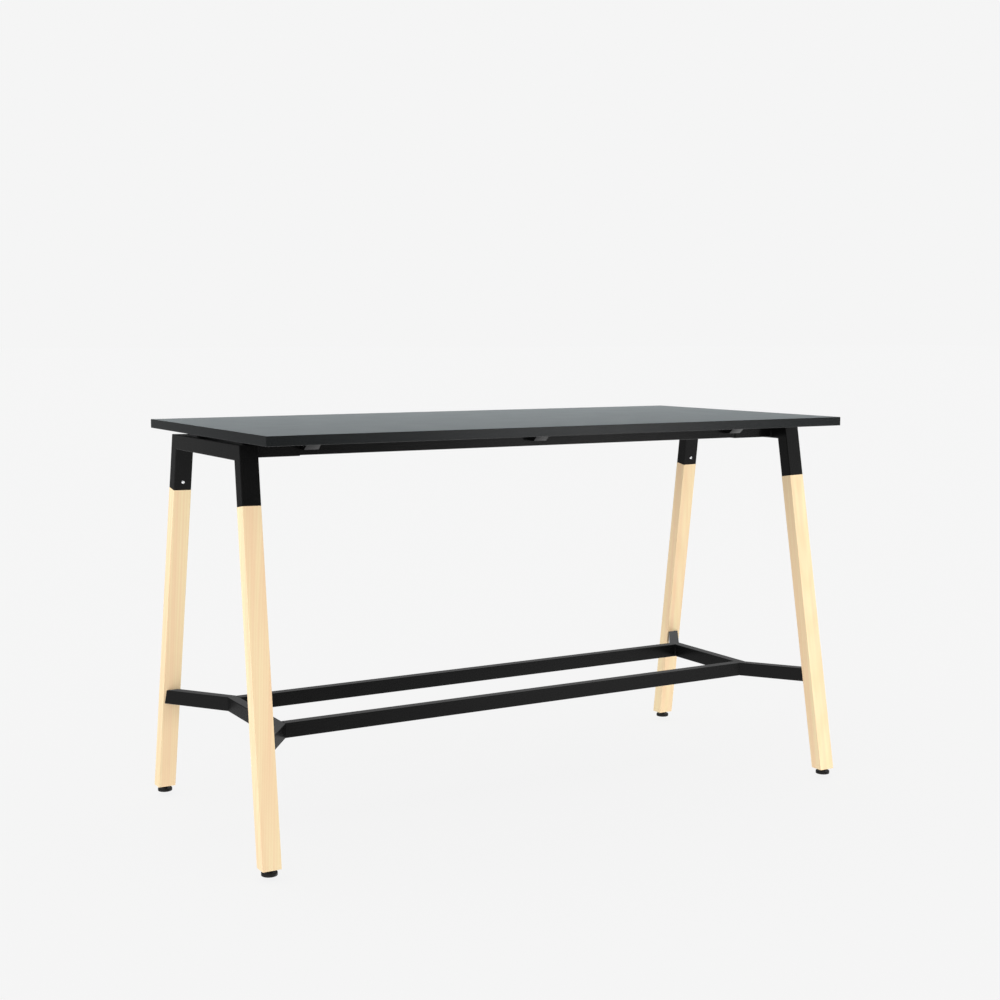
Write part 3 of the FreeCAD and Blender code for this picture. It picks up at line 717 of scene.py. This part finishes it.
for end, side in CORNERS:
    low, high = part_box(f"{end}_{side}_rail_sleeve")
    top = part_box(f"{side}_end_crossbar")[1].z - BEAD_STOP
    lean = math.tan(LEG_LEAN)
    root = low.x if side == "left" else high.x
    corners = [(root + SIDES[side] * lean * (low.z - z), y, z)
               for y, z in ((low.y, top), (low.y, low.z), (high.y, low.z), (high.y, top))]
    rods = [bead(here, there) for here, there in zip(corners, corners[1:])]
    seam = join(rods, f"{end}_{side}_sleeve_weld")
    smooth(seam)
    dress(seam, coat)
    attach(seam, "frame")
print("four seams round the sleeves,", len(seam.data.polygons), "faces each")

# %% [markdown]
# In the footrest one upright rod fills each inner corner, a bead's radius short of both ends.

# %% Beads in the footrest
for end, side in CORNERS:
    low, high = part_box(f"{end}_footrest_tube")
    x = low.x if side == "left" else high.x
    y = high.y if end == "front" else low.y
    seam = bead((x, y, low.z + BEAD_RADIUS), (x, y, high.z - BEAD_RADIUS))
    seam.name = f"{end}_{side}_footrest_weld"
    smooth(seam)
    dress(seam, coat)
    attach(seam, "frame")
print("four seams in the footrest")

# %% [markdown]
# ## Levelling feet
#
# Each leg stands on a glide that is screwed in or out to level the table. The glide is a moulded
# disc: a rounded rim, a shallow dish, and a raised hub that holds the stud. It starts as a cylinder
# whose top is inset several times, with the rings moved up or down, which gives the dish without
# any sculpting. A pocket for the stud's flange and a bore for its neck are cut out of the hub.

# %% Glide
GLIDE_RINGS = [             # inset and rise of each ring in mm, from the rim to the hub
    (3.0, 0.0), (1.0, -0.9), (5.8, -0.5), (0.8, 0.9), (2.6, 0.5)]
RIM_ROUND = 2.5 * MM
FOOT_ROUND = 1.0 * MM
FLANGE_POCKET = (7.3, 2.5, 5.7)     # radius, floor and ceiling of the stud's pocket, mm
STUD_BORE = 4.08 * MM
RIM_SLACK = 0.1 * MM        # corners this near the rim lie on it

glide_low, glide_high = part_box("front_left_foot_pad")
glide_radius = (glide_high.x - glide_low.x) / 2
glide_height = glide_high.z - glide_low.z


def on_rim(edge):
    return at_height(glide_height)(edge) and edge.verts[0].co.xy.length > glide_radius - RIM_SLACK


def make_glide():
    bpy.ops.object.select_all(action="DESELECT")
    bpy.ops.mesh.primitive_cylinder_add(vertices=64, radius=glide_radius, depth=glide_height,
                                        location=(0, 0, glide_height / 2))
    glide = bpy.context.object
    bpy.ops.object.transform_apply(location=True)
    open_mesh(glide)
    pick(glide, "FACE", facing(1, glide_height))
    for thickness, rise in GLIDE_RINGS:
        bpy.ops.mesh.inset(thickness=thickness * MM, depth=rise * MM)
    pick(glide, "EDGE", on_rim)
    bpy.ops.mesh.bevel(offset=RIM_ROUND, segments=6, profile=0.5)
    pick(glide, "EDGE", at_height(0))
    bpy.ops.mesh.bevel(offset=FOOT_ROUND, segments=4, profile=0.5)
    close_mesh()
    radius, floor, ceiling = [v * MM for v in FLANGE_POCKET]
    bpy.ops.mesh.primitive_cylinder_add(vertices=48, radius=radius, depth=ceiling - floor,
                                        location=(0, 0, (floor + ceiling) / 2))
    cut_away(glide, bpy.context.object)
    bpy.ops.mesh.primitive_cylinder_add(vertices=48, radius=STUD_BORE, depth=2 * (glide_height - ceiling),
                                        location=(0, 0, glide_height))
    cut_away(glide, bpy.context.object)
    smooth(glide, degrees=40)
    return glide


model = make_glide()
for end, side in CORNERS:
    low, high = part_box(f"{end}_{side}_foot_pad")
    centre = (low + high) / 2
    glide = copy_to(model, f"{end}_{side}_glide", (centre.x, centre.y, low.z), (0, 0, 1))
    dress(glide, plastic)
    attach(glide, f"{end}_{side}_foot_pad".replace("foot_pad", "pad"))
    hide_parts(f"{end}_{side}_foot_pad")
print("glides", round(2 * glide_radius / MM, 1), "mm across,", len(model.data.polygons), "faces each")
bpy.data.objects.remove(model)

# %% [markdown]
# The stud is an M8 thread. Its outline over one pitch is carried round and up by a Screw modifier.
# Where the spiral starts and ends it leaves an open rim, which is drawn in to a point so that the
# shape is closed.

# %% Thread
THREAD_PITCH = 1.25 * MM
THREAD_CREST = 3.97 * MM
THREAD_ROOT = 3.3 * MM
THREAD_STEPS = 28           # flat pieces in each turn
COLLAR_HEIGHT = 3 * MM
COLLAR_GAP = 0.4 * MM       # room between the glide and the collar above it

stud_low, stud_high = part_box("front_left_foot_stud")
collar_low = glide_height + COLLAR_GAP
thread_low = collar_low + COLLAR_HEIGHT - THREAD_PITCH
thread_turns = int((stud_high.z - thread_low) / THREAD_PITCH) - 1


def make_thread():
    heights = (0, 0.13, 0.45, 0.55, 0.87, 1.0)      # shares of the pitch
    radii = (THREAD_ROOT, THREAD_ROOT, THREAD_CREST, THREAD_CREST, THREAD_ROOT, THREAD_ROOT)
    profile = bpy.data.meshes.new("thread")
    points = [(r, 0, thread_low + h * THREAD_PITCH) for r, h in zip(radii, heights)]
    profile.from_pydata(points, [(k, k + 1) for k in range(len(points) - 1)], [])
    thread = bpy.data.objects.new("thread", profile)
    bpy.context.scene.collection.objects.link(thread)
    apply(thread, "SCREW", angle=math.tau, screw_offset=THREAD_PITCH, iterations=thread_turns,
          steps=THREAD_STEPS, render_steps=THREAD_STEPS, use_merge_vertices=True)
    split = (thread_low + stud_high.z) / 2
    for top in (False, True):
        open_mesh(thread)
        bpy.ops.mesh.select_all(action="SELECT")
        bpy.ops.mesh.remove_doubles(threshold=0.005 * MM)
        pick(thread, "EDGE", lambda e: e.is_boundary and (e.verts[0].co.z > split) == top)
        bpy.ops.mesh.extrude_edges_move()
        bpy.ops.mesh.merge(type="CENTER")
        bpy.ops.mesh.select_all(action="SELECT")
        bpy.ops.mesh.normals_make_consistent(inside=False)
        close_mesh()
    return thread


thread = make_thread()
print(thread_turns, "thread turns")

# %% [markdown]
# Below the thread sit a hexagon collar for a spanner, a round neck, and the flange that the glide
# holds. All three are bevelled prisms on the same axis, and they are joined to the thread.

# %% Stud
COLLAR_FLATS = 13 * MM
FLANGE_RADIUS = 7 * MM
FLANGE_HEIGHT = 3 * MM
NECK_RADIUS = 4 * MM
NECK_OVERLAP = 0.5 * MM     # how far the neck runs into the flange and the collar


def prism(sides, radius, low, high, chamfer, turn=0.0):
    bpy.ops.object.select_all(action="DESELECT")
    bpy.ops.mesh.primitive_cylinder_add(vertices=sides, radius=radius, depth=high - low,
                                        location=(0, 0, (low + high) / 2), rotation=(0, 0, turn))
    piece = bpy.context.object
    bpy.ops.object.transform_apply(location=True, rotation=True)
    open_mesh(piece)
    pick(piece, "EDGE", at_height(low, high))
    bpy.ops.mesh.bevel(offset=chamfer, segments=2, profile=0.5)
    close_mesh()
    return piece


flange_low = stud_low.z
model = join([
    thread,
    prism(6, COLLAR_FLATS / math.sqrt(3), collar_low, collar_low + COLLAR_HEIGHT, chamfer=0.5 * MM,
          turn=math.radians(30)),
    prism(48, FLANGE_RADIUS, flange_low, flange_low + FLANGE_HEIGHT, chamfer=0.3 * MM),
    prism(32, NECK_RADIUS, flange_low + FLANGE_HEIGHT - NECK_OVERLAP, collar_low + NECK_OVERLAP,
          chamfer=0.2 * MM),
], "stud_model")
smooth(model, degrees=30)
for end, side in CORNERS:
    low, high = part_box(f"{end}_{side}_foot_stud")
    centre = (low + high) / 2
    stud = copy_to(model, f"{end}_{side}_levelling_stud", (centre.x, centre.y, 0), (0, 0, 1))
    dress(stud, dark_zinc)
    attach(stud, f"{end}_{side}_stud")
    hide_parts(f"{end}_{side}_foot_stud")
print("four studs,", len(model.data.polygons), "faces each")
bpy.data.objects.remove(model)

# %% [markdown]
# ## Floor
#
# The table stands on a plain pale floor that runs on into an equally pale background, as on a
# seamless paper roll. The floor glows by itself, which lifts the shadows until only a faint one is
# left, and its own colour is dark, so that hardly any other light adds to the glow. It lies as low
# as the glides reach when they are screwed right out, so that it never hides them.

# %% Seamless paper
PAPER = linear("#f5f5f5")   # the pale background
FLOOR_GLOW = 0.856          # the floor's own light, so that it looks as pale as the background
FLOOR_SIZE = 400
FLOOR_HEIGHT = -max(joint["range_m"][1] for joint in frame["joints"] if joint["type"] == "slide")


def paper():
    material, tree = new_material("seamless_background_paper")
    place = add(tree, "ShaderNodeTexCoord")
    grain = add(tree, "ShaderNodeTexNoise", {"Scale": across(4), "Detail": 2.0},
                {"Vector": place.outputs["Object"]})
    colour = add(tree, "ShaderNodeMixRGB", {"Color1": linear("#454545"), "Color2": linear("#4b4b4b")},
                 {"Fac": grain.outputs["Fac"]})
    shader = add(tree, "ShaderNodeBsdfPrincipled",
                 {"Roughness": 1.0, "Specular IOR Level": 0.0, "Emission Color": linear("#ffffff"),
                  "Emission Strength": FLOOR_GLOW},
                 {"Base Color": colour.outputs["Color"]})
    add(tree, "ShaderNodeOutputMaterial", links={"Surface": shader.outputs["BSDF"]})
    return material


bpy.ops.object.select_all(action="DESELECT")
bpy.ops.mesh.primitive_plane_add(size=FLOOR_SIZE, location=(0, 0, FLOOR_HEIGHT))
floor = bpy.context.object
floor.name = "floor"
floor.visible_glossy = False
dress(floor, paper())
floor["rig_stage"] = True
print("floor at", round(FLOOR_HEIGHT / MM, 1), "mm")

# %% [markdown]
# ## Surroundings
#
# The world around the table is drawn by nodes too, and it differs with who looks. The camera sees
# the plain pale background. What lights the table is soft: bright overhead and below, darker at
# eye level, and brighter there off the left end and behind the right one. What the table mirrors
# is nearly black at eye level, which keeps the black steel black, and bright patches in it stand
# for light panels, placed so that the tubes show their form from every side.
#
# Heights are given as the sine of the elevation, which is simply the z of the direction. Azimuths
# are counted from the front towards the right.

# %% Brightness by height and azimuth
world = bpy.data.worlds.new("studio")
bpy.context.scene.world = world
world.use_nodes = True
sky = world.node_tree
sky.nodes.clear()
toward = add(sky, "ShaderNodeTexCoord")
split = add(sky, "ShaderNodeSeparateXYZ", links={"Vector": toward.outputs["Generated"]})
height = add(sky, "ShaderNodeMapRange", {"From Min": -1.0, "From Max": 1.0}, {"Value": split.outputs["Z"]})


def by_height(stops):
    """Brightness that changes with height: stops are (sine of the elevation, brightness)."""
    ramp = add(sky, "ShaderNodeValToRGB", links={"Fac": height.outputs["Result"]})
    points = ramp.color_ramp.elements
    while len(points) < len(stops):
        points.new(0.5)
    for point, (sine, value) in zip(points, stops):
        point.position = (sine + 1) / 2
        point.color = (value, value, value, 1)
    return ramp.outputs["Color"]


def patch(azimuth, inner, outer, stops):
    """Light round one azimuth: full up to inner degrees off it, none past outer, and by height."""
    level = add(sky, "ShaderNodeVectorMath", {"operation": "MULTIPLY", 1: (1, 1, 0)},
                {0: toward.outputs["Generated"]})
    bearing = add(sky, "ShaderNodeVectorMath", {"operation": "NORMALIZE"}, {0: level.outputs["Vector"]})
    centre = (math.sin(math.radians(azimuth)), -math.cos(math.radians(azimuth)), 0)
    nearness = add(sky, "ShaderNodeVectorMath", {"operation": "DOT_PRODUCT", 1: centre},
                   {0: bearing.outputs["Vector"]})
    spread = add(sky, "ShaderNodeMapRange",
                 {"interpolation_type": "SMOOTHSTEP", "From Min": math.cos(math.radians(outer)),
                  "From Max": math.cos(math.radians(inner))}, {"Value": nearness.outputs["Value"]})
    shaped = add(sky, "ShaderNodeMath", {"operation": "MULTIPLY"},
                 {0: spread.outputs["Result"], 1: by_height(stops)})
    return shaped.outputs["Value"]


def together(stops, patches):
    """Brightness by height with patches added to it."""
    total = by_height(stops)
    for each in patches:
        both = add(sky, "ShaderNodeMath", {"operation": "ADD"}, {0: total, 1: patch(*each)})
        total = both.outputs["Value"]
    return total


print("brightness can follow height and azimuth")

# %% [markdown]
# Two pairs of lists hold the studio: what lights the table, and what its gloss mirrors. Each pair
# has one list of brightness by height, the same all round, and one of patches that are added to it.

# %% What lights the table and what it mirrors
LIGHTING = [(-1.0, 0.90), (0.0, 0.52), (1.0, 0.92)]
LIGHTING_PATCHES = [        # azimuth, full within and none beyond in degrees, brightness by height
    (262, 20, 100, [(-1.0, 0.0), (0.0, 1.08), (1.0, 0.0)]),
    (130, 20, 90, [(-1.0, 0.0), (0.0, 0.30), (1.0, 0.0)]),
]
MIRRORED = [(-1.0, 1.0), (-0.7, 1.6), (-0.4, 0.5), (-0.25, 0.30), (-0.15, 0.06), (0.25, 0.03), (0.6, 0.5),
            (1.0, 1.0)]
MIRRORED_PATCHES = [
    (36, 0, 13, [(-0.5, 0.0), (-0.39, 0.3), (-0.24, 0.6), (-0.12, 0.3), (0.0, 0.0)]),
    (33, 0, 3.6, [(-0.2, 0.0), (-0.1, 3.25), (0.05, 3.25), (0.2, 0.0)]),
    (39, 0, 13, [(0.0, 0.0), (0.1, 0.8), (0.2, 0.8), (0.5, 0.0)]),
    (291, 12, 45, [(-0.45, 0.0), (-0.3, 0.55), (-0.12, 0.55), (0.0, 0.0)]),
    (218, 3, 14, [(-0.4, 0.0), (-0.2, 0.2), (-0.06, 0.3), (0.1, 0.2), (0.3, 0.0)]),
    (192, 0, 10, [(-0.22, 0.0), (-0.1, 0.22), (0.0, 0.22), (0.15, 0.0)]),
    (92, 12, 32, [(-0.7, 0.0), (-0.4, 0.9), (-0.15, 0.9), (-0.05, 0.0)]),
    (156, 0, 18, [(-0.7, 0.0), (-0.4, 0.7), (-0.15, 0.7), (-0.05, 0.0)]),
    (173, 0, 19, [(-0.7, 0.0), (-0.4, 0.9), (-0.2, 0.9), (-0.1, 0.0)]),
    (330, 0, 30, [(-0.7, 0.0), (-0.4, 0.6), (-0.2, 0.6), (-0.1, 0.0)]),
    (345, 10, 26, [(0.08, 0.0), (0.2, 0.5), (0.35, 0.5), (0.6, 0.0)]),
    (85, 15, 40, [(0.0, 0.0), (0.15, 0.45), (0.35, 0.45), (0.6, 0.0)]),
    (265, 10, 45, [(0.0, 0.0), (0.15, 0.45), (0.35, 0.45), (0.6, 0.0)]),
    (142, 2, 46, [(-0.1, 0.0), (0.0, 0.20), (0.12, 0.26), (0.20, 0.24), (0.26, 0.48), (0.5, 0.0)]),
]
lighting = together(LIGHTING, LIGHTING_PATCHES)
mirrored = together(MIRRORED, MIRRORED_PATCHES)
print(len(LIGHTING_PATCHES), "patches that light and", len(MIRRORED_PATCHES), "that are mirrored")

# %% [markdown]
# A Light Path node tells which kind of ray asks, and two Mix Shader nodes hand each its own world.

# %% One world for each kind of ray
ray = add(sky, "ShaderNodeLightPath")
around = add(sky, "ShaderNodeBackground", links={"Color": lighting})
seen_in_gloss = add(sky, "ShaderNodeBackground", links={"Color": mirrored})
backdrop = add(sky, "ShaderNodeBackground", {"Color": PAPER})
lit = add(sky, "ShaderNodeMixShader",
          links={0: ray.outputs["Is Glossy Ray"], 1: around.outputs["Background"],
                 2: seen_in_gloss.outputs["Background"]})
blend = add(sky, "ShaderNodeMixShader",
            links={0: ray.outputs["Is Camera Ray"], 1: lit.outputs["Shader"],
                   2: backdrop.outputs["Background"]})
add(sky, "ShaderNodeOutputWorld", links={"Surface": blend.outputs["Shader"]})
print(len(sky.nodes), "nodes in the world")

# %% [markdown]
# ## Lights
#
# Two soft boxes shape the table. One stands off the left end and brightens the legs' outer faces
# there; one stands in front of the right end. They light the table only, so the paper stays even.
# A long low panel behind the table rakes over the top alone, which pales towards the rear. Bright
# metal shows only what it mirrors, so a white card lies just above the floor for the leg bolts
# alone.

# %% Soft boxes, a panel and a card
def group_of(name, pieces):
    group = bpy.data.collections.new(name)
    bpy.context.scene.collection.children.link(group)
    for piece in pieces:
        group.objects.link(piece)
    return group


def soft_box(name, place, aim, size, watts, receivers, colour="#ffffff", in_gloss=False):
    light = bpy.data.lights.new(name, "AREA")
    light.shape = "RECTANGLE"
    light.size, light.size_y = size
    light.energy = watts
    light.color = linear(colour)[:3]
    lamp = bpy.data.objects.new(name, light)
    bpy.context.scene.collection.objects.link(lamp)
    lamp.location = place
    lamp.rotation_mode = "QUATERNION"
    lamp.rotation_quaternion = (Vector(aim) - Vector(place)).to_track_quat("-Z", "Y")
    lamp.visible_camera = False
    lamp.visible_glossy = in_gloss
    lamp.light_linking.receiver_collection = receivers


whole_table = group_of("whole_table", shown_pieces())
tabletop_face = group_of("tabletop_face", [nodes["tabletop_face_laminate"]])
bright_metal = group_of("bright_metal", [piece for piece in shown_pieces() if piece.name.endswith("leg_bolt")])
soft_box("left_soft_box", place=(-2.3, -0.10, 0.9), aim=(-0.9, 0.0, 0.6), size=(1.2, 1.6), watts=9.8,
         receivers=whole_table, colour="#f0f6ff")
soft_box("right_front_soft_box", place=(2.3, -3.2, 0.9), aim=(0.5, 0.0, 0.6), size=(1.2, 1.6), watts=58.5,
         receivers=whole_table)
soft_box("rear_panel", place=(1.5, 2.7, 1.235), aim=(0.825, -0.223, 1.235), size=(5.0, 0.3), watts=7.0,
         receivers=tabletop_face, colour="#f4fcff", in_gloss=True)
soft_box("white_card", place=(0, 0, 0.01), aim=(0, 0, 1), size=(8, 8), watts=96,
         receivers=bright_metal, in_gloss=True)

# %% [markdown]
# ## Camera
#
# The table is seen from the front left, a little above its top, with a moderately long lens, so
# that the perspective stays mild.

# %% Camera
LENS = 55.22                # mm, for a sensor 36 mm wide
CAMERA_PLACE = (-2.2333, -3.8701, 1.3160)
CAMERA_TILT = math.radians(83.98)       # up from looking straight down
CAMERA_TURN = math.radians(-29.98)      # from looking along +Y, towards +X

camera_data = bpy.data.cameras.new("camera")
camera_data.sensor_width = 36
camera_data.lens = LENS
camera = bpy.data.objects.new("camera", camera_data)
bpy.context.scene.collection.objects.link(camera)
camera.location = CAMERA_PLACE
camera.rotation_euler = (CAMERA_TILT, 0, CAMERA_TURN)
bpy.context.scene.camera = camera
bpy.context.scene.view_settings.view_transform = "Standard"
print("camera", round(Vector(CAMERA_PLACE).length, 2), "m from the table's middle on the floor")

# %% [markdown]
# ## Finish
#
# The box round the dressed table is measured, because the looks must not change the size.

# %% Size of the dressed table
low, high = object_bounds()
